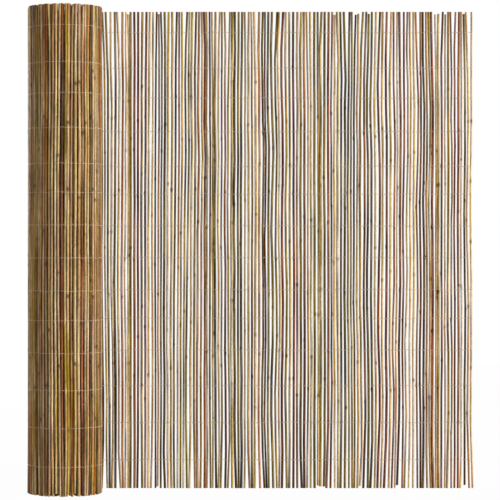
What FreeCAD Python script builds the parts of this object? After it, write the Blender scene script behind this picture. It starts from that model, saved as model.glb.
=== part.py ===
import FreeCAD, Part
import math
import os
import random

# A roll-up bamboo fence panel, standing on its cane ends and part unrolled.
# Thin upright canes lie side by side. Each binding row is a pair of wire
# strands, one before the canes and one behind them, twisted together between
# the canes. One end of the mat is still rolled up, and the rest stands out
# flat from the back of that roll.
#
# Frame: X runs along the flat stretch towards its free edge, Y from front to
# back and Z up. The origin is on the ground, at the middle of the panel's
# width and depth. All sizes are in millimetres.

# Canes
CANE_LENGTH = 1500.0
CANE_DIAMETER = 7.2        # mean, across the flats of the eight-sided cane
DIAMETER_SPREAD = 1.1      # a cane is at most this much thicker or thinner

# Spaces between neighbouring canes
NARROWEST_GAP = 2.4
WIDEST_GAP = 4.6
TOUCH_GAP = 0.3            # between the flats of two canes that lie side by side
TOUCH_SHARE = 0.07         # share of neighbours that do so

# Flat stretch
FLAT_LENGTH = 1275.0
SHORT_SHARE = 0.11         # share of its cane tips that are cut short
SHORTEST_CUT = 5.0
LONGEST_CUT = 10.0

# Roll
ROLL_DIAMETER = 235.0      # over the canes of the outer turn
HALF_TURNS = 8
ROLL_SLACK = 3.6           # between a mean cane and the next turn's
NECK = 2.4                 # wall between two canes of the inner turns

# Binding wire
WIRE_SIZE = 1.0
SEAT_CLEARANCE = 0.02      # between a strand and the canes that it holds
WIRE_TAIL = 2.0            # past the last cane of the flat stretch
FOOT_MARGIN = 89.0         # from the ground to the lowest row
HEAD_MARGIN = 65.0         # from the highest row to the cane tips
ROW_SPACINGS = (118, 115, 113, 100, 90, 101, 100, 100, 88, 109, 106, 94, 112)  # foot to head
TWIST_HEIGHT = 3.6         # height of the twist that ties two canes together
TIE_STEPS = 5              # rows between one pair's tie and the next pair's
BEND_STEPS = 4             # straight lengths in a quarter turn of a strand
PINCH_CLEARANCE = 12.0     # the back strand ends this far from the front strand

SEED = 7

OUTER_RADIUS = ROLL_DIAMETER / 2
TURN_PITCH = CANE_DIAMETER + ROLL_SLACK
STRAND_REACH = SEAT_CLEARANCE + WIRE_SIZE


def lay_canes(length, seed):
    """Canes that fill a length, as (distance of the axis, diameter, gap after)."""
    draw = random.Random(seed)
    canes = []
    reach = NARROWEST_GAP / 2
    while reach + CANE_DIAMETER < length:
        diameter = CANE_DIAMETER + DIAMETER_SPREAD * (2 * draw.random() - 1)
        gap = NARROWEST_GAP + (WIDEST_GAP - NARROWEST_GAP) * draw.random()
        if draw.random() < TOUCH_SHARE:
            gap = TOUCH_GAP
        canes.append((reach + diameter / 2, diameter, gap))
        reach += diameter + gap
    return canes


def half_turn(number):
    """Radius of a half turn's outer face, and how far its centre is off the roll's."""
    return OUTER_RADIUS - number * TURN_PITCH / 2, -(number % 2) * TURN_PITCH / 2


def half_length(number):
    """Length of a half turn along the middle of its canes."""
    return math.pi * (half_turn(number)[0] - CANE_DIAMETER / 2)


flat_canes = lay_canes(FLAT_LENGTH, SEED)
rolled_canes = lay_canes(sum(map(half_length, range(HALF_TURNS))), SEED + 1)

# The flat stretch leaves the back of the roll along a tangent, at TANGENT_X
last_distance, last_diameter, _ = flat_canes[-1]
FREE_END = last_distance + last_diameter / 2 + WIRE_TAIL
TANGENT_X = (OUTER_RADIUS + STRAND_REACH - FREE_END) / 2
BACK_Y = OUTER_RADIUS
FRONT_Y = BACK_Y - max(diameter for _, diameter, _ in flat_canes)


def flat_half(diameter):
    """Half the width of one of a cane's eight flats."""
    return diameter / 2 * math.tan(math.pi / 8)


def row_heights():
    """Heights of the binding rows, spaced in proportion between the two margins."""
    scale = (CANE_LENGTH - FOOT_MARGIN - HEAD_MARGIN) / sum(ROW_SPACINGS)
    heights = [FOOT_MARGIN]
    for spacing in ROW_SPACINGS:
        heights.append(heights[-1] + spacing * scale)
    return heights


def box(low, high):
    """An upright box between two opposite corners."""
    size = [b - a for a, b in zip(low, high)]
    return Part.makeBox(*size, FreeCAD.Vector(*low))


def prism(outline, bottom, height):
    """A closed outline in plan, raised to a solid."""
    corners = [FreeCAD.Vector(x, y, bottom) for x, y in outline]
    face = Part.Face(Part.makePolygon(corners + corners[:1]))
    return face.extrude(FreeCAD.Vector(0, 0, height))


def save(name, solid):
    solid.exportStep(f"parts/{name}.step")


# The flat stretch: one wall of ridges and gaps

def flat_outline():
    """Plan of the wall: eight-sided canes side by side, their backs in one plane."""
    back, front = [], []
    for distance, diameter, _ in flat_canes:
        x = TANGENT_X + distance
        half, flat = diameter / 2, flat_half(diameter)
        middle = BACK_Y - half
        back += [(x - half, middle + flat), (x - flat, BACK_Y)]
        back += [(x + flat, BACK_Y), (x + half, middle + flat)]
        front += [(x - half, middle - flat), (x - flat, middle - half)]
        front += [(x + flat, middle - half), (x + half, middle - flat)]
    return back + front[::-1]


def gap_cutters(heights):
    """A slot above and one below the binding row that ties each pair of canes."""
    cutters = []
    for index, (distance, diameter, gap) in enumerate(flat_canes[:-1]):
        if gap <= TOUCH_GAP:
            continue
        left = TANGENT_X + distance + diameter / 2
        tie = heights[index * TIE_STEPS % len(heights)]
        for low, high in ((0, tie - TWIST_HEIGHT / 2), (tie + TWIST_HEIGHT / 2, CANE_LENGTH)):
            cutters.append(box((left, FRONT_Y, low), (left + gap, BACK_Y, high)))
    return cutters


def tip_cutters():
    """Boxes that shorten some canes at the head and some at the foot."""
    draw = random.Random(SEED + 2)
    cutters = []
    for distance, diameter, _ in flat_canes:
        left = TANGENT_X + distance - diameter / 2
        for at_head in (True, False):
            depth = SHORTEST_CUT + (LONGEST_CUT - SHORTEST_CUT) * draw.random()
            if draw.random() < SHORT_SHARE:
                low, high = (CANE_LENGTH - depth, CANE_LENGTH) if at_head else (0, depth)
                cutters.append(box((left, FRONT_Y, low), (left + diameter, BACK_Y, high)))
    return cutters


def unrolled_mat(heights):
    wall = prism(flat_outline(), 0, CANE_LENGTH)
    return wall.cut(gap_cutters(heights) + tip_cutters())


# The roll: a spiral of half circles, each half a turn pitch tighter

def on_roll(distance, depth):
    """Point in plan at a distance along the rolled canes, and a depth under their outer face."""
    number = 0
    while distance > half_length(number):
        distance -= half_length(number)
        number += 1
    radius, centre_y = half_turn(number)
    angle = math.pi * (number + 0.5 + distance / half_length(number))
    reach = radius - depth
    return TANGENT_X + reach * math.cos(angle), centre_y + reach * math.sin(angle)


def rolled_outline():
    """Plan of the turns: six corners of each outer cane, and a ridge for each inner one."""
    outer_turn = half_length(0) + half_length(1)
    outer, inner = [], []
    for distance, diameter, gap in rolled_canes:
        half, flat = diameter / 2, flat_half(diameter)
        if distance < outer_turn:
            side = [(half, half + flat), (half, half - flat), (flat, 0)]
            section = [(-along, depth) for along, depth in side] + side[::-1]
            outer += [on_roll(distance + along, depth) for along, depth in section]
            inner += [on_roll(distance, diameter)]
        else:
            valley = distance + half + gap / 2
            outer += [on_roll(distance, 0), on_roll(valley, (CANE_DIAMETER - NECK) / 2)]
            inner += [on_roll(distance, diameter), on_roll(valley, (CANE_DIAMETER + NECK) / 2)]
    return outer + inner[::-1]


def rolled_mat():
    return prism(rolled_outline(), 0, CANE_LENGTH)


# The binding wire

def wrapped_line(offset):
    """Corners of a line bent round the roll's outer face, from the tangent on."""
    step = math.pi / 2 / BEND_STEPS
    points = []
    for index in range(4 * BEND_STEPS):
        radius, centre_y = half_turn(index // (2 * BEND_STEPS))
        corner = (radius + offset) / math.cos(step / 2)
        angle = math.pi / 2 + (index + 0.5) * step
        x, y = TANGENT_X + corner * math.cos(angle), centre_y + corner * math.sin(angle)
        if x > TANGENT_X and y > FRONT_Y - STRAND_REACH - PINCH_CLEARANCE:
            break
        points.append((x, y))
    return points


def back_strand():
    """Plan of the strand behind the flat stretch, which goes on round the roll."""
    end = TANGENT_X + FREE_END
    near, far = SEAT_CLEARANCE, STRAND_REACH
    inside = [(end, BACK_Y + near)] + wrapped_line(near)
    outside = [(end, BACK_Y + far)] + wrapped_line(far)
    return outside + inside[::-1]


def front_strand():
    """Plan of the strand before the flat stretch, which ends where the roll covers it."""
    end = TANGENT_X + FREE_END
    near, far = FRONT_Y - SEAT_CLEARANCE, FRONT_Y - STRAND_REACH
    return [(TANGENT_X, near), (end, near), (end, far), (TANGENT_X, far)]


def main():
    os.makedirs("parts", exist_ok=True)
    heights = row_heights()
    save("unrolled_mat", unrolled_mat(heights))
    save("rolled_mat", rolled_mat())
    for number, height in enumerate(heights, 1):
        bottom = height - WIRE_SIZE / 2
        save(f"binding_wire_{number:02d}_back", prism(back_strand(), bottom, WIRE_SIZE))
        save(f"binding_wire_{number:02d}_front", prism(front_strand(), bottom, WIRE_SIZE))


main()
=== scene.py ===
import math
import random

import bmesh
import bpy
import numpy as np
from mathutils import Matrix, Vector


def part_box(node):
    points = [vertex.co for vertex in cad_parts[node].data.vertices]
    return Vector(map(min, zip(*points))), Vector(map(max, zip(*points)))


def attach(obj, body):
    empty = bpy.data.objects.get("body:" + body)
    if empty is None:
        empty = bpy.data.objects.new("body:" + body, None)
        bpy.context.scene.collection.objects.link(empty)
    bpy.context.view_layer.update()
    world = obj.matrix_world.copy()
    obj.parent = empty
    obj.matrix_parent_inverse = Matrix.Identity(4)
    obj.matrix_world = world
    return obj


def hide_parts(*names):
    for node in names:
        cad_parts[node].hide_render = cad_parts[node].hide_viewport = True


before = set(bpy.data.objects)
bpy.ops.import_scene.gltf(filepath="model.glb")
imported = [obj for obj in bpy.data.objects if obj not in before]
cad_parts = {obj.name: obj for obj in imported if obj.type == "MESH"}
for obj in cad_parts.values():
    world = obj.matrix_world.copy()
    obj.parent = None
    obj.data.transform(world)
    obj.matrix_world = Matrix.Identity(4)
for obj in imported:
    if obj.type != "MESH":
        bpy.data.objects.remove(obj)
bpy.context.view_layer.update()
bpy.ops.object.select_all(action="DESELECT")


# Where the canes stand
# Cut canes are fed into the loom side by side, thick and thin as they come, so
# the spaces between them are uneven and some lie against each other. Distances
# along the mat start at the tangent where it leaves the back of the roll.
CANE_DIAMETER = 0.0072     # mean
DIAMETER_SPREAD = 0.0011   # a cane is at most this much thicker or thinner
NARROWEST_GAP = 0.0024
WIDEST_GAP = 0.0046
TOUCH_GAP = 0.0003         # between canes that lie against each other
TOUCH_SHARE = 0.07         # share of neighbours that do so
FLAT_LENGTH = 1.275
LAYOUT_SEED = 7            # the solids' own, so that each cane stands in its ridge

flat_low, flat_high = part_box("unrolled_mat")
CANE_LENGTH = flat_high[2] - flat_low[2]
BACK_Y = flat_high[1]


def lay_canes(length, seed):
    """Canes that fill a length, as (distance of the axis, diameter, gap after)."""
    draw = random.Random(seed)
    canes = []
    reach = NARROWEST_GAP / 2
    while reach + CANE_DIAMETER < length:
        diameter = CANE_DIAMETER + DIAMETER_SPREAD * (2 * draw.random() - 1)
        gap = NARROWEST_GAP + (WIDEST_GAP - NARROWEST_GAP) * draw.random()
        if draw.random() < TOUCH_SHARE:
            gap = TOUCH_GAP
        canes.append((reach + diameter / 2, diameter, gap))
        reach += diameter + gap
    return canes


flat_canes = lay_canes(FLAT_LENGTH, LAYOUT_SEED)
first_distance, first_diameter, _ = flat_canes[0]
TANGENT_X = flat_low[0] - first_distance + first_diameter / 2


# How the canes bend
# No cane is straight. The wire makes neighbours bow and waver together, and a
# few stray by themselves. They lean most at their free tips, and where two meet
# they push each other aside.
LEVELS = 46                # heights at which a cane's bend is worked out
BENDS = (                  # size of a bend, and its fewest and most waves in a cane
    (0.0010, 0.4, 1.1),
    (0.0006, 1.5, 4.0),
    (0.0003, 4.0, 9.0))
NEIGHBOURS = 9             # canes that bend together
ALONE = 0.4                # what is left of a cane's own bend between them
TIP_LEAN = 0.0030
TIP_REACH = 0.085          # a tip leans over this length from its end
LEAST_SPACE = 0.0002       # between two canes that have met
SETTLING_ROUNDS = 30

level_heights = np.linspace(0, CANE_LENGTH, LEVELS)
shape_draw = np.random.default_rng(LAYOUT_SEED)


def sideways(count, freedom):
    """How far each cane of a row strays to one side, at each level."""
    along = level_heights / CANE_LENGTH
    stray = np.zeros((count, LEVELS))
    for size, fewest, most in BENDS:
        waves = shape_draw.uniform(fewest, most, (count, 1))
        phase = shape_draw.uniform(0, 1, (count, 1))
        draws = shape_draw.normal(0, 1, (count, 1))
        stray += size * draws * np.abs(draws) * np.sin(2 * np.pi * (waves * along + phase))
    window = np.ones(NEIGHBOURS) / math.sqrt(NEIGHBOURS)
    shared = [np.convolve(level, window, "same") for level in stray.T]
    stray = ALONE * stray + np.array(shared).T
    for from_end in (level_heights, CANE_LENGTH - level_heights):
        tip = np.clip(1 - from_end / TIP_REACH, 0, 1)
        stray += TIP_LEAN * shape_draw.normal(0, 1, (count, 1)) * tip
    return freedom * stray


def settle(canes, freedom):
    """Distance of each cane along its row at each level, with none inside its neighbour."""
    rest = np.array([distance for distance, _, _ in canes])[:, None]
    radii = np.array([diameter / 2 for _, diameter, _ in canes])[:, None]
    places = rest + sideways(len(canes), freedom)
    needed = radii[1:] + radii[:-1] + LEAST_SPACE
    for _ in range(SETTLING_ROUNDS):
        for start in (0, 1):   # every other pair, so that no cane is pushed from both sides
            short = np.clip(needed - np.diff(places, axis=0), 0, None)[start::2] / 2
            places[start:-1:2][:len(short)] -= short
            places[start + 1::2][:len(short)] += short
    return places


# One cane
# A slim bamboo culm, cut square at both ends with its small hollow showing. It
# tapers a little and swells at its knots, where a branch scar stands out.
CANE_SIDES = 8
CANE_RINGS = 20
FEWEST_KNOTS, MOST_KNOTS = 2, 4
KNOT_SPANS = (0.6, 1.4)    # shortest and longest stretch between knots, in proportion
KNOT_BELOW, KNOT_ABOVE = 0.011, 0.008
WEAKEST_KNOT = 0.4         # of the strongest
KNOT_SWELL = 0.16
SCAR_SIDE = 0.2            # how much darker a knot is at its scar than beside it
TAPER = 0.05
LUMEN_SHARE = 0.42         # of the cane's thickness
LUMEN_DEPTH = 0.004
LUMEN_MARK = 0.001         # depth in the master, which tells the hollows' points
SHORT_SHARE = 0.11         # share of the tips that are cut short
SHORTEST_CUT, LONGEST_CUT = 0.005, 0.010
TONE_DRIFT = 0.16          # colour's change from foot to head, as a place on the ramp
SMOOTH_ANGLE = math.radians(50)

bpy.ops.mesh.primitive_cylinder_add(vertices=CANE_SIDES, radius=1, depth=1, location=(0, 0, 0.5))
master = bpy.context.object
bpy.ops.object.transform_apply(location=True)
bpy.ops.object.mode_set(mode="EDIT")
bpy.ops.mesh.select_mode(type="EDGE")
bpy.ops.mesh.select_all(action="DESELECT")
shape = bmesh.from_edit_mesh(master.data)
for edge in shape.edges:   # the upright ones
    edge.select = abs(edge.verts[0].co.z - edge.verts[1].co.z) > 0.5
bmesh.update_edit_mesh(master.data)
bpy.ops.mesh.subdivide(number_cuts=CANE_RINGS - 2)
bpy.ops.mesh.select_mode(type="FACE")
for facing in (-1, 1):
    bpy.ops.mesh.select_all(action="DESELECT")
    shape = bmesh.from_edit_mesh(master.data)
    for face in shape.faces:
        face.select = face.normal.z * facing > 0.9
        if face.select:
            face.material_index = 1    # the cut end, where 0 is the skin
    bmesh.update_edit_mesh(master.data)
    bpy.ops.mesh.inset(thickness=1 - LUMEN_SHARE)
    bpy.ops.mesh.extrude_region_move(
        TRANSFORM_OT_translate={"value": (0, 0, -facing * LUMEN_MARK)})
bpy.ops.object.mode_set(mode="OBJECT")

master_points = np.empty(len(master.data.vertices) * 3)
master.data.vertices.foreach_get("co", master_points)
master_points = master_points.reshape(-1, 3)
master_height = master_points[:, 2]
is_foot_lumen = np.isclose(master_height, LUMEN_MARK, atol=LUMEN_MARK / 2)
is_head_lumen = np.isclose(master_height, 1 - LUMEN_MARK, atol=LUMEN_MARK / 2)


def cane_rings(low, high):
    """Heights of a cane's rings, foot to head, and how much of a knot each one is."""
    knots = shape_draw.integers(FEWEST_KNOTS, MOST_KNOTS + 1)
    spans = shape_draw.uniform(*KNOT_SPANS, knots + 1)
    places = low + (high - low) * np.cumsum(spans)[:-1] / spans.sum()
    plain = np.linspace(low, high, CANE_RINGS - 3 * knots)
    heights = np.concatenate([plain, places - KNOT_BELOW, places, places + KNOT_ABOVE])
    strength = np.zeros(CANE_RINGS)
    strength[len(plain) + knots:len(plain) + 2 * knots] = shape_draw.uniform(WEAKEST_KNOT, 1, knots)
    order = np.argsort(heights)
    return heights[order], strength[order]


def shape_cane(radius, path_x, path_y, low, high, tone):
    """A copy of the master, drawn out along its path, with its colour's place on the ramp."""
    cane = master.copy()
    cane.data = master.data.copy()
    bpy.context.collection.objects.link(cane)
    rings, knots = cane_rings(low, high)
    share = np.linspace(0, 1, CANE_RINGS)
    height = np.interp(master_height, share, rings)
    height[is_foot_lumen] = low + LUMEN_DEPTH
    height[is_head_lumen] = high - LUMEN_DEPTH
    knot = np.interp(master_height, share, knots)
    taper = 1 + TAPER * shape_draw.uniform(-1, 1) * (2 * height / CANE_LENGTH - 1)
    scar = shape_draw.uniform(0, 2 * math.pi)
    facing = master_points[:, 0] * math.cos(scar) + master_points[:, 1] * math.sin(scar)
    swell = (1 + KNOT_SWELL * knot) * (1 + KNOT_SWELL * knot * facing)
    reach = radius * taper * swell
    points = np.stack([
        np.interp(height, level_heights, path_x) + master_points[:, 0] * reach,
        np.interp(height, level_heights, path_y) + master_points[:, 1] * reach,
        height], axis=1)
    cane.data.vertices.foreach_set("co", points.ravel())
    drift = TONE_DRIFT * shape_draw.normal()
    values = {
        "tone": tone + drift * (height / CANE_LENGTH - 0.5),
        "shade": np.full(len(points), shape_draw.normal(0, 1)),
        "knot": knot * (1 - SCAR_SIDE + SCAR_SIDE * facing)}
    for key, value in values.items():
        layer = cane.data.attributes.new(key, "FLOAT", "POINT")
        layer.data.foreach_set("value", value)
    return cane


def bundle(canes, name, node):
    """Joins neighbouring canes into one piece that stands for its part of a CAD node."""
    bpy.ops.object.select_all(action="DESELECT")
    for cane in canes:
        cane.select_set(True)
    bpy.context.view_layer.objects.active = canes[0]
    bpy.ops.object.join()
    bpy.ops.object.shade_smooth_by_angle(angle=SMOOTH_ANGLE)
    piece = bpy.context.object
    piece.name = name
    piece.data.name = name
    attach(piece, "root")
    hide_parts(node)


def draw_ends():
    """Height of a cane's foot and head: a few are cut short."""
    cuts = shape_draw.uniform(SHORTEST_CUT, LONGEST_CUT, 2)
    cuts[shape_draw.uniform(0, 1, 2) > SHORT_SHARE] = 0
    return cuts[0], CANE_LENGTH - cuts[1]


# Weathering
# Rain and mildew darken the canes and dull the wire in soft patches. Vector is
# the place in the pattern, and Least the noise at which a patch begins.
weathering = bpy.data.node_groups.new("weathering", "ShaderNodeTree")
weathering.interface.new_socket(name="Vector", in_out="INPUT", socket_type="NodeSocketVector")
weathering.interface.new_socket(name="Least", in_out="INPUT", socket_type="NodeSocketFloat")
weathering.interface.new_socket(name="Mask", in_out="OUTPUT", socket_type="NodeSocketFloat")
group_in = weathering.nodes.new("NodeGroupInput")
group_out = weathering.nodes.new("NodeGroupOutput")
patches = weathering.nodes.new("ShaderNodeTexNoise")
patches.inputs["Scale"].default_value = 1
patches.inputs["Detail"].default_value = 3
spread = weathering.nodes.new("ShaderNodeMapRange")
spread.inputs["From Max"].default_value = 0.75
weathering.links.new(group_in.outputs["Vector"], patches.inputs["Vector"])
weathering.links.new(patches.outputs["Fac"], spread.inputs["Value"])
weathering.links.new(group_in.outputs["Least"], spread.inputs["From Min"])
weathering.links.new(spread.outputs["Result"], group_out.inputs["Mask"])


# Cane skin
# Unpeeled culms of every shade from slate and olive to straw, tan and red
# brown. They are streaked lengthwise and faded in patches, with dark knots and
# a dull waxy shine.
SKIN_SHADES = (
    (0.00, (0.066, 0.042, 0.020)),
    (0.10, (0.150, 0.110, 0.026)),
    (0.22, (0.265, 0.183, 0.037)),
    (0.34, (0.450, 0.303, 0.075)),
    (0.45, (0.740, 0.545, 0.280)),
    (0.55, (0.485, 0.315, 0.140)),
    (0.65, (0.550, 0.300, 0.145)),
    (0.76, (0.345, 0.157, 0.056)),
    (0.87, (0.300, 0.104, 0.044)),
    (1.00, (0.095, 0.034, 0.018)))
UNIT = (0, 1)
MOST_NOISE = (0.3, 0.7)    # most of a noise lies in this span
MID_NOISE = (0.35, 0.65)
TONE_SHIFT = (-0.19, 0.19)     # along one cane, as places on the ramp
HUE_SHIFT = (0.487, 0.513)     # 0.5 is no shift
SATURATION = (0.72, 1.17)
STREAK_LIGHT = (0.78, 1.20)    # times the colour, as the next four are
MOTTLE_LIGHT = (0.66, 1.10)
SHADE_LIGHT = (0.78, 1.22)
KNOT_LIGHT = (1.0, 0.30)
DAMP_LIGHT = (1.0, 0.62)
SKIN_ROUGHNESS = (0.40, 0.58)
GRAIN_HEIGHT = 0.0004


def new_material(name):
    """A material, its nodes, what links them and its shader, to which the calls below add."""
    material = bpy.data.materials.new(name)
    material.use_nodes = True
    tree = material.node_tree
    return material, tree.nodes, tree.links.new, tree.nodes["Principled BSDF"]


def read_attribute(name):
    node = nodes.new("ShaderNodeAttribute")
    node.attribute_name = name
    return node.outputs["Fac"]


def object_place(scale):
    """Object coordinates times a scale for each axis, per metre."""
    place = nodes.new("ShaderNodeTexCoord")
    mapping = nodes.new("ShaderNodeMapping")
    mapping.inputs["Scale"].default_value = scale
    link(place.outputs["Object"], mapping.inputs["Vector"])
    return mapping.outputs["Vector"]


def stretched_noise(across, along, detail):
    """Noise drawn out along the canes: its scale across them and along them, per metre."""
    noise = nodes.new("ShaderNodeTexNoise")
    noise.inputs["Scale"].default_value = 1
    noise.inputs["Detail"].default_value = detail
    link(object_place((across, across, along)), noise.inputs["Vector"])
    return noise.outputs["Fac"]


def weather(scale, least):
    """Mask of the weathered patches."""
    node = nodes.new("ShaderNodeGroup")
    node.node_tree = weathering
    node.inputs["Least"].default_value = least
    link(object_place(scale), node.inputs["Vector"])
    return node.outputs["Mask"]


def combine(operation, first, second):
    """A Math node, whose inputs are numbers or other nodes' outputs."""
    node = nodes.new("ShaderNodeMath")
    node.operation = operation
    for socket, value in zip(node.inputs, (first, second)):
        if isinstance(value, bpy.types.NodeSocket):
            link(value, socket)
        else:
            socket.default_value = value
    return node.outputs["Value"]


def remap(value, span, new_span):
    """A value moved from one span to another, and kept inside it."""
    node = nodes.new("ShaderNodeMapRange")
    link(value, node.inputs["Value"])
    for key, number in zip(("From Min", "From Max", "To Min", "To Max"), (*span, *new_span)):
        node.inputs[key].default_value = number
    return node.outputs["Result"]


def darken(colour, factor):
    """Colour times a factor, which may be over one."""
    node = nodes.new("ShaderNodeVectorMath")
    node.operation = "SCALE"
    link(colour, node.inputs[0])
    link(factor, node.inputs["Scale"])
    return node.outputs["Vector"]


skin, nodes, link, shader = new_material("cane_skin")
shader.inputs["Specular IOR Level"].default_value = 0.1
drift = remap(stretched_noise(across=90, along=4.5, detail=3), MOST_NOISE, TONE_SHIFT)
shades = nodes.new("ShaderNodeValToRGB")
link(combine("ADD", read_attribute("tone"), drift), shades.inputs["Fac"])
ramp = shades.color_ramp
for _ in SKIN_SHADES[2:]:
    ramp.elements.new(0.5)
for stop, (position, colour) in zip(ramp.elements, SKIN_SHADES):
    stop.position = position
    stop.color = (*colour, 1)
faded = nodes.new("ShaderNodeHueSaturation")
hues = stretched_noise(across=70, along=1.5, detail=2)
fading = stretched_noise(across=110, along=2.5, detail=2)
link(shades.outputs["Color"], faded.inputs["Color"])
link(remap(hues, MID_NOISE, HUE_SHIFT), faded.inputs["Hue"])
link(remap(fading, MID_NOISE, SATURATION), faded.inputs["Saturation"])

streaks = stretched_noise(across=900, along=14, detail=3)
mottle = stretched_noise(across=260, along=70, detail=4)
damp = weather(scale=(60, 60, 9), least=0.45)
lightness = remap(streaks, MOST_NOISE, STREAK_LIGHT)
for value, span, light in (    # what else lightens or darkens a cane, and by how much
        (mottle, (0.25, 0.6), MOTTLE_LIGHT),
        (read_attribute("shade"), (-2, 2), SHADE_LIGHT),
        (read_attribute("knot"), (0, 0.8), KNOT_LIGHT),
        (damp, UNIT, DAMP_LIGHT)):
    lightness = combine("MULTIPLY", lightness, remap(value, span, light))
link(darken(faded.outputs["Color"], lightness), shader.inputs["Base Color"])
link(remap(streaks, MOST_NOISE, SKIN_ROUGHNESS), shader.inputs["Roughness"])
bump = nodes.new("ShaderNodeBump")
bump.inputs["Strength"].default_value = 0.5
bump.inputs["Distance"].default_value = GRAIN_HEIGHT
link(combine("ADD", streaks, mottle), bump.inputs["Height"])
link(bump.outputs["Normal"], shader.inputs["Normal"])


# Cut cane ends
# The saw leaves the pale wood wall and the small hollow open to the air, and
# both soon go grey brown. The floor of the shallow hollow is painted near
# black: painted shade for the dark inside of the deep tube.
CUT_WOOD = (0.30, 0.215, 0.125)
# painted shade: the near black of the hollow's floor stands in for the dark of a deep tube
HOLLOW_PAINTED_SHADE = (0.035, 0.024, 0.016)
FIBRE_LIGHT = (0.70, 1.15)


def mix(factor, first, second):
    """The first colour where the factor is 0, and the second where it is 1."""
    node = nodes.new("ShaderNodeMix")
    node.data_type = "RGBA"
    node.inputs["A"].default_value = (*first, 1)
    node.inputs["B"].default_value = (*second, 1)
    link(factor, node.inputs["Factor"])
    return node.outputs["Result"]


cut_end, nodes, link, shader = new_material("cane_cut_end")
shader.inputs["Roughness"].default_value = 0.85
# the cut wood, with painted shade on the hollow's floor
wood_with_painted_shade = mix(read_attribute("hollow"), CUT_WOOD, HOLLOW_PAINTED_SHADE)
fibres = stretched_noise(across=1800, along=1800, detail=3)
link(darken(wood_with_painted_shade, remap(fibres, MOST_NOISE, FIBRE_LIGHT)), shader.inputs["Base Color"])

# points on the floor of the hollow, which take the painted shade
hollow = master.data.attributes.new("hollow", "FLOAT", "POINT")
hollow.data.foreach_set("value", (is_foot_lumen | is_head_lumen).astype(float))
master.data.materials.append(skin)
master.data.materials.append(cut_end)


# Canes of the flat stretch
# Whole bamboo culms, held side by side between the strands of the wire, their
# backs nearly in one plane. The wire holds them closer to that plane than to
# their places in the row.
FLAT_BUNDLE = 17           # canes in one piece
FLAT_FREEDOM = 1.0         # of the bends, along the row
FLAT_DEPTH_FREEDOM = 0.35  # of the bends, out of the plane
TONE_SEED = 2582
TONE_STEPS = (0.03, 0.12, 0.20, 0.28, 0.36, 0.42, 0.48, 0.54, 0.62, 0.70, 0.78, 0.86, 0.95)
TONE_SCATTER = 0.04        # either side of a step
FLAT_WEIGHTS = (17, 17, 14, 9, 8, 11, 11, 8, 8, 8, 6, 4, 14)

tone_draw = random.Random(TONE_SEED)


def draw_tone(weights):
    """A cane's colour, as a place on the ramp: one of the steps, by their weights."""
    step = tone_draw.choices(TONE_STEPS, weights)[0]
    return step + tone_draw.uniform(-TONE_SCATTER, TONE_SCATTER)


flat_places = settle(flat_canes, FLAT_FREEDOM)
flat_depths = sideways(len(flat_canes), FLAT_DEPTH_FREEDOM)
for start in range(0, len(flat_canes), FLAT_BUNDLE):
    made = []
    for index in range(start, min(start + FLAT_BUNDLE, len(flat_canes))):
        radius = flat_canes[index][1] / 2
        path_x = TANGENT_X + flat_places[index]
        path_y = BACK_Y - radius + flat_depths[index]
        made.append(shape_cane(
            radius, path_x, path_y, *draw_ends(), draw_tone(FLAT_WEIGHTS)))
    bundle(made, f"flat_canes_{start // FLAT_BUNDLE + 1:02d}", "unrolled_mat")


# Canes of the roll
# The same culms, a shade redder, wound into four turns that lie loosely on
# each other: a spiral of half circles, each half a turn's pitch tighter.
ROLL_DIAMETER = 0.235      # over the canes of the outer turn
HALF_TURNS = 8
ROLL_SLACK = 0.0036        # between a mean cane and the next turn's
ROLL_BUNDLE = 20
ROLL_FREEDOM = 0.8
ROLL_DEPTH_FREEDOM = 0.3
ROLL_WEIGHTS = (1, 4, 5, 8, 12, 7, 7, 15, 20, 13, 10, 6, 2)

OUTER_RADIUS = ROLL_DIAMETER / 2
TURN_PITCH = CANE_DIAMETER + ROLL_SLACK


def half_turn(number):
    """Radius of a half turn's outer face, and how far its centre is off the roll's."""
    return OUTER_RADIUS - number * TURN_PITCH / 2, -(number % 2) * TURN_PITCH / 2


def half_length(number):
    """Length of a half turn along the middle of its canes."""
    return math.pi * (half_turn(number)[0] - CANE_DIAMETER / 2)


def on_roll(distance, depth):
    """Point in plan at a distance along the rolled canes, and a depth under their outer face."""
    number = 0
    while distance > half_length(number):
        distance -= half_length(number)
        number += 1
    radius, centre_y = half_turn(number)
    angle = math.pi * (number + 0.5 + distance / half_length(number))
    reach = radius - depth
    return TANGENT_X + reach * math.cos(angle), centre_y + reach * math.sin(angle)


rolled_canes = lay_canes(sum(map(half_length, range(HALF_TURNS))), LAYOUT_SEED + 1)
rolled_places = settle(rolled_canes, ROLL_FREEDOM)
rolled_depths = sideways(len(rolled_canes), ROLL_DEPTH_FREEDOM)
for start in range(0, len(rolled_canes), ROLL_BUNDLE):
    made = []
    for index in range(start, min(start + ROLL_BUNDLE, len(rolled_canes))):
        radius = rolled_canes[index][1] / 2
        path = [on_roll(max(distance, 0), radius - stray) for distance, stray in zip(
            rolled_places[index], rolled_depths[index])]
        path_x, path_y = np.array(path).T
        made.append(shape_cane(
            radius, path_x, path_y, *draw_ends(), draw_tone(ROLL_WEIGHTS)))
    bundle(made, f"rolled_canes_{start // ROLL_BUNDLE + 1:02d}", "rolled_mat")
bpy.data.objects.remove(master)


# Binding wire
# Two soft galvanised strands a row. One passes before each cane and the other
# behind it, and they are twisted over each other in every open gap.
WIRE_RADIUS = 0.0005
WIRE_SAG = 0.0012          # a strand rises or drops at most this much at a cane
WRAP_ANGLES = (-0.9, 0.0, 0.9)     # round a cane, of the points that it bends the strand at
OPEN_GAP = 0.0016          # a gap takes a twist if it is wider
PINCH_LENGTH = 0.03        # of the outer turn, left bare where it nears the mat
WIRE_COLOUR = (0.82, 0.69, 0.50)
DULL_COLOUR = (0.55, 0.43, 0.28)
WIRE_ROUGHNESS = (0.35, 0.60)

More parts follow.
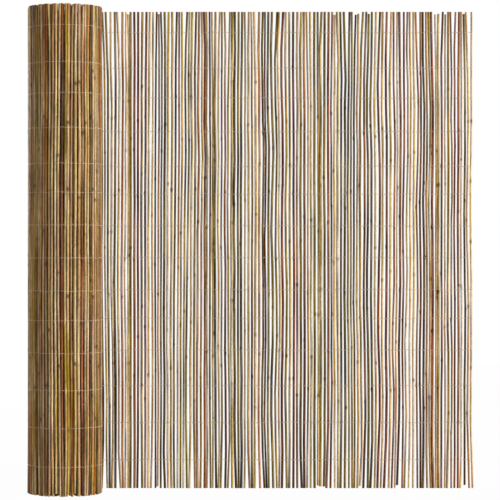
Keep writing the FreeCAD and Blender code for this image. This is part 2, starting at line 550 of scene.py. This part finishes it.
wire_metal, nodes, link, shader = new_material("binding_wire")
shader.inputs["Metallic"].default_value = 0.2
dullness = weather(scale=(45, 45, 45), least=0.4)
link(mix(dullness, WIRE_COLOUR, DULL_COLOUR), shader.inputs["Base Color"])
link(remap(dullness, UNIT, WIRE_ROUGHNESS), shader.inputs["Roughness"])

wrapped_length = half_length(0) + half_length(1) - PINCH_LENGTH
wrapped_count = sum(distance < wrapped_length for distance, _, _ in rolled_canes)


def on_mat(distance, depth, is_rolled):
    """Point in plan at a distance along a stretch, and a depth under its outer or back face."""
    if is_rolled:
        return on_roll(max(distance, 0), depth)
    return TANGENT_X + distance, BACK_Y - depth


def strand_points(height, side):
    """Centre line of one strand, free edge to roll; side is 1 behind and outside, else -1."""
    level = np.abs(level_heights - height).argmin()
    sag_draw = random.Random(round(height * 1000))
    flat = [(flat_places[i][level], flat_canes[i][1] / 2, flat_depths[i][level], False)
            for i in reversed(range(len(flat_canes)))]
    rolled = [(rolled_places[i][level], rolled_canes[i][1] / 2, rolled_depths[i][level], True)
              for i in range(wrapped_count)]
    row = flat + rolled
    points = []
    for number, (distance, radius, stray, is_rolled) in enumerate(row):
        heading = 1 if is_rolled else -1   # distances grow away from the tangent
        sag = WIRE_SAG * sag_draw.uniform(-1, 1)
        reach = radius * (1 + TAPER) + WIRE_RADIUS
        for angle in WRAP_ANGLES:
            along = heading * reach * math.sin(angle)
            out = side * reach * math.cos(angle)
            place = on_mat(distance + along, radius - stray - out, is_rolled)
            points.append((*place, height + sag))
        if number + 1 == len(row):
            break
        next_distance, next_radius, _, next_rolled = row[number + 1]
        gap = abs(next_distance - distance) - radius - next_radius
        if is_rolled == next_rolled and gap > OPEN_GAP:
            middle = (distance + next_distance + heading * (radius - next_radius)) / 2
            place = on_mat(middle, radius - side * WIRE_RADIUS, is_rolled)
            over = side * WIRE_RADIUS * (1 if number % 2 else -1)
            points.append((*place, height + sag + over))
    return points


row_nodes = sorted(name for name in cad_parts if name.startswith("binding_wire"))
for back_node, front_node in zip(row_nodes[::2], row_nodes[1::2]):
    low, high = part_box(back_node)
    height = (low[2] + high[2]) / 2
    line = bpy.data.curves.new("strands", "CURVE")
    line.dimensions = "3D"
    line.bevel_depth = WIRE_RADIUS
    line.bevel_resolution = 0
    for side in (1, -1):
        points = strand_points(height, side)
        spline = line.splines.new("POLY")
        spline.points.add(len(points) - 1)
        for point, place in zip(spline.points, points):
            point.co = (*place, 1)
    row = bpy.data.objects.new(back_node.replace("_back", ""), line)
    bpy.context.collection.objects.link(row)
    bpy.ops.object.select_all(action="DESELECT")
    row.select_set(True)
    bpy.context.view_layer.objects.active = row
    bpy.ops.object.convert(target="MESH")
    row = bpy.context.object
    bpy.ops.object.shade_smooth()
    row.data.materials.append(wire_metal)
    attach(row, "root")
    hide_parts(back_node, front_node)


# Floor and studio
# A plain white floor and background, with one broad warm lamp at the right and
# a weaker one behind at the left, which lights only the back.
FLOOR_SIZE = 14.0
FLOOR_WHITE = 0.9
FLOOR_GLOW = 0.97          # share of the floor's look that is plain white, where it is seen
LAMP_SIZE = 3.6
LAMPS = (                  # name, place and watts
    ("lamp", (13.0, -6.4, 1.8), 2320),
    ("back_lamp", (-5.0, 7.5, 2.6), 420))
FILL_STRENGTH = 0.38
WHITE = (1.0, 1.0, 1.0)
WARM_WHITE = (1.0, 0.95, 0.87)


def seen_at_all():
    """1 for the camera, directly, in a gloss or through glass, and 0 for light on the panel."""
    path = nodes.new("ShaderNodeLightPath")
    not_directly = combine(
        "MAXIMUM", path.outputs["Is Glossy Ray"], path.outputs["Is Transmission Ray"])
    return combine("MAXIMUM", path.outputs["Is Camera Ray"], not_directly)


bpy.ops.mesh.primitive_plane_add(size=FLOOR_SIZE, location=(0, 0, 0))
floor = bpy.context.object
floor.name = "floor"
paint, nodes, link, shader = new_material("floor_paint")
shader.inputs["Base Color"].default_value = (FLOOR_WHITE, FLOOR_WHITE, FLOOR_WHITE, 1)
shader.inputs["Roughness"].default_value = 1
glow = nodes.new("ShaderNodeEmission")
cover = nodes.new("ShaderNodeMixShader")
link(combine("MULTIPLY", seen_at_all(), FLOOR_GLOW), cover.inputs["Fac"])
link(shader.outputs["BSDF"], cover.inputs[1])
link(glow.outputs["Emission"], cover.inputs[2])
link(cover.outputs["Shader"], nodes["Material Output"].inputs["Surface"])
floor.data.materials.append(paint)

world = bpy.data.worlds.new("studio")
world.use_nodes = True
bpy.context.scene.world = world
nodes, link = world.node_tree.nodes, world.node_tree.links.new
backdrop = nodes["Background"]
seen = seen_at_all()
link(remap(seen, UNIT, (FILL_STRENGTH, 1)), backdrop.inputs["Strength"])
link(mix(seen, WARM_WHITE, WHITE), backdrop.inputs["Color"])

for name, place, power in LAMPS:
    bpy.ops.object.light_add(type="AREA", location=place)
    lamp = bpy.context.object
    lamp.name = name
    lamp.data.size = LAMP_SIZE
    lamp.data.energy = power
    lamp.data.color = WARM_WHITE
    # Turned towards the middle of the panel
    tilt = math.atan2(math.hypot(place[0], place[1]), place[2] - CANE_LENGTH / 2)
    lamp.rotation_euler = (tilt, 0, math.atan2(place[0], -place[1]))


# Camera
# It stands level with the middle of the canes, with a long lens a few steps
# away, so the canes stay upright in the picture.
CAMERA_DISTANCE = 6.41     # from the middle of the flat stretch
CAMERA_X = -0.0072         # left of the panel's middle
LENS = 146.5

flat_middle_y = (flat_low[1] + flat_high[1]) / 2
camera_data = bpy.data.cameras.new("camera")
camera_data.lens = LENS
camera = bpy.data.objects.new("camera", camera_data)
bpy.context.collection.objects.link(camera)
camera.location = (CAMERA_X, flat_middle_y - CAMERA_DISTANCE, CANE_LENGTH / 2)
camera.rotation_euler = (math.pi / 2, 0, 0)
bpy.context.scene.camera = camera

bpy.context.scene.view_settings.view_transform = "Standard"
